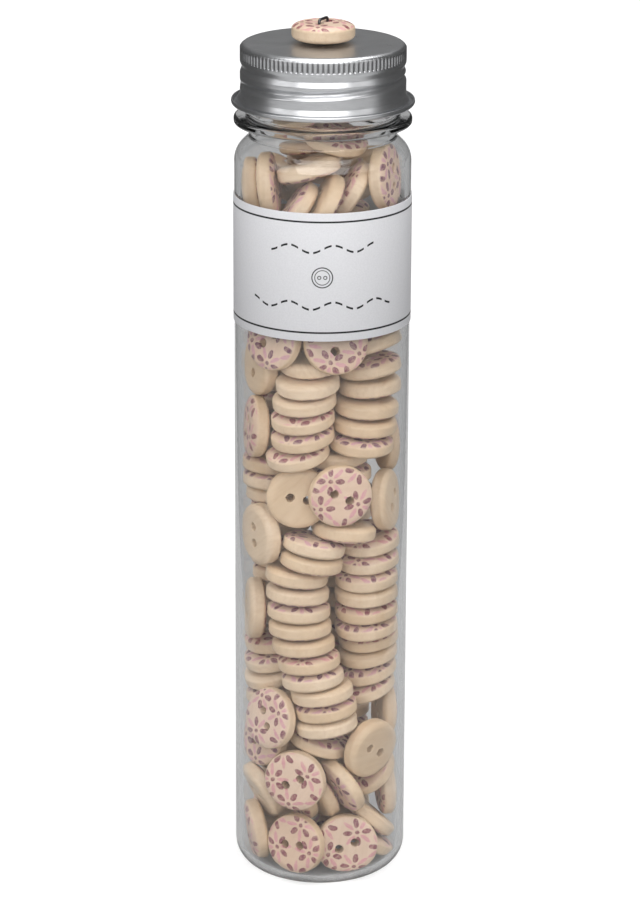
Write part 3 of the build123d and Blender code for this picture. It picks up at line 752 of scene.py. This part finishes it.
def tube(path, radius, segments=12):
    """Round tube along a path of points, closed at its ends."""
    points = []
    along = np.gradient(path, axis=0)
    along /= np.linalg.norm(along, axis=1, keepdims=True)
    square = np.cross(along[0], (0, 0, 1.0))
    for centre, way in zip(path, along):
        square = square - way * (square @ way)
        square /= np.linalg.norm(square)
        over = np.cross(way, square)
        turn = np.arange(segments) * 2 * math.pi / segments
        points.append(centre + radius * (np.outer(np.cos(turn), square) + np.outer(np.sin(turn), over)))
    faces = grid_faces(len(path), segments)
    last = (len(path) - 1) * segments
    faces.append(tuple(range(segments))[::-1])
    faces.append(tuple(last + k for k in range(segments)))
    return np.vstack(points), faces


def steel_material():
    """Grey drawn wire."""
    mat, n, shader = material("staple_wire", Metallic=1.0, Roughness=0.3)
    place = n.add("ShaderNodeTexCoord").outputs["Object"]
    streak = n.ramp(n.noise(place, 700.0), 0.35, 0.65)
    n.link(n.mix(streak, linear(120, 120, 124), linear(92, 92, 96)), shader.inputs["Base Color"])
    return mat


wire_low = RIM_Z + SEAT_GAP + LINER + SEAT_GAP / 2 + WIRE_R
wire_high = SAMPLE_LOW + 2 * HALF + WIRE_RISE
flat_path = rounded([
    (-HOLE_OFF - WIRE_TAIL, wire_low, 0), (-HOLE_OFF, wire_low, WIRE_BEND), (-HOLE_OFF, wire_high, WIRE_BEND),
    (HOLE_OFF, wire_high, WIRE_BEND), (HOLE_OFF, wire_low, WIRE_BEND), (HOLE_OFF + WIRE_TAIL, wire_low, 0)],
    steps=6)
turn = math.radians(SAMPLE_TURN)
path = np.stack([flat_path[:, 0] * math.cos(turn), flat_path[:, 0] * math.sin(turn), flat_path[:, 1]], -1)
wire_points, wire_faces = tube(path, WIRE_R)
piece("staple", wire_points, wire_faces, steel_material(), "cap", ["button_wire"])


# Sealing disc: the part's own node with a foam finish


def foam_material():
    """White closed foam."""
    mat, n, shader = material("liner_foam", Roughness=0.7)
    place = n.add("ShaderNodeTexCoord").outputs["Object"]
    cells = n.noise(place, 1500.0, 2.0)
    tint = n.mix(n.ramp(cells, 0.3, 0.7), linear(236, 236, 234), linear(216, 216, 214))
    n.link(tint, shader.inputs["Base Color"])
    n.link(n.bump(cells, 0.2, 0.0002), shader.inputs["Normal"])
    return mat


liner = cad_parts["cap_liner"]
liner.data.materials.clear()
liner.data.materials.append(foam_material())


# Stage


def panel(name, corners, mat):
    """Flat face of the stage."""
    mesh = bpy.data.meshes.new(name)
    mesh.from_pydata(corners, [], [tuple(range(len(corners)))])
    mesh.materials.append(mat)
    obj = bpy.data.objects.new(name, mesh)
    scene.collection.objects.link(obj)
    return obj


def seen(n, through, mirrored):
    """1 for rays from the camera, and the given shares for rays through the jar and rays in a mirror."""
    path = n.add("ShaderNodeLightPath").outputs
    gloss = n.math("SUBTRACT", path["Is Glossy Ray"], path["Is Transmission Ray"], clamp=True)
    other = n.math("MULTIPLY_ADD", path["Is Transmission Ray"], through, n.math("MULTIPLY", gloss, mirrored))
    return n.math("ADD", path["Is Camera Ray"], other)


def floor_material():
    """Pale card that the camera sees as white, and that the jar and the cap show at a lower level."""
    mat, n, shader = material("pale_floor", Roughness=0.9, Specular_IOR_Level=0.1)
    place = n.add("ShaderNodeTexCoord").outputs["Object"]
    tint = n.mix(n.noise(place, 300.0), linear(178, 178, 178), linear(174, 174, 174))
    n.link(tint, shader.inputs["Base Color"])
    shader.inputs["Emission Color"].default_value = (1, 1, 1, 1)
    reach = n.add("ShaderNodeVectorMath", operation="LENGTH")
    n.link(place, reach.inputs[0])
    lift = n.ramp(reach.outputs["Value"], 0.1, 1.2, 0.66, 1.0)
    through = n.ramp(reach.outputs["Value"], 0.15, 1.0, 0.05, 0.25)
    n.link(n.math("MULTIPLY", seen(n, through, 0.3), lift), shader.inputs["Emission Strength"])
    return mat


def card_material():
    """Plain grey card."""
    mat, n, shader = material("grey_card", Roughness=0.9, Specular_IOR_Level=0.1)
    place = n.add("ShaderNodeTexCoord").outputs["Object"]
    tint = n.mix(n.noise(place, 300.0), linear(120, 120, 120), linear(114, 114, 114))
    n.link(tint, shader.inputs["Base Color"])
    return mat


turns = np.arange(FLOOR_SIDES) * 2 * math.pi / FLOOR_SIDES
panel("floor", [(FLOOR_R * math.cos(t), FLOOR_R * math.sin(t), FLOOR_Z) for t in turns], floor_material())

# Two grey cards beside the jar show in the metal alone
grey = card_material()
for side in (-1, 1):
    near, far = ((side * x, y) for x, y in (CARD_NEAR, CARD_FAR))
    corners = [(*near, 0), (*far, 0), (*far, CARD_HEIGHT), (*near, CARD_HEIGHT)]
    shade = panel(f"card_{side + 2}", corners, grey)
    shade.visible_camera = shade.visible_diffuse = shade.visible_transmission = shade.visible_shadow = False

world = bpy.data.worlds.new("studio")
world.use_nodes = True
scene.world = world
sky = next(k for k in world.node_tree.nodes if k.type == "BACKGROUND")
sky.inputs["Color"].default_value = (1, 1, 1, 1)
n = Nodes(world.node_tree)
n.link(n.math("MULTIPLY_ADD", seen(n, 0.3, 0.0), 0.83, 0.17), sky.inputs["Strength"])


def lamp(name, at, to, size, power):
    """Rectangular soft lamp that looks from one place to another."""
    data = bpy.data.lights.new(name, "AREA")
    data.shape = "RECTANGLE"
    data.size, data.size_y = size
    data.energy = power
    obj = bpy.data.objects.new(name, data)
    obj.location = at
    obj.rotation_euler = (Vector(to) - Vector(at)).to_track_quat("-Z", "Y").to_euler()
    scene.collection.objects.link(obj)


lamp("over", (0, -0.15, 1.15), (0, 0, 0.1), (1.0, 0.8), 8)
lamp("front", (0, -1.25, 0.85), (0, 0, 0.12), (1.8, 1.0), 13.5)
lamp("left", (-1.0, -0.55, 0.7), (0, 0, 0.1), (0.6, 0.7), 1.6)
lamp("right", (1.0, -0.55, 0.7), (0, 0, 0.1), (0.6, 0.7), 1.2)
lamp("back", (0.2, 0.55, 1.25), (0, 0, 0.1), (0.8, 0.5), 3)

camera = bpy.data.objects.new("camera", bpy.data.cameras.new("camera"))
camera.data.lens = CAMERA_LENS
camera.data.sensor_width = CAMERA_SENSOR
camera.matrix_world = (Matrix.Translation(CAMERA_AT)
                       @ Matrix.Rotation(math.radians(90 - CAMERA_DOWN), 4, "X")
                       @ Matrix.Rotation(math.radians(CAMERA_ROLL), 4, "Z"))
scene.collection.objects.link(camera)
scene.camera = camera
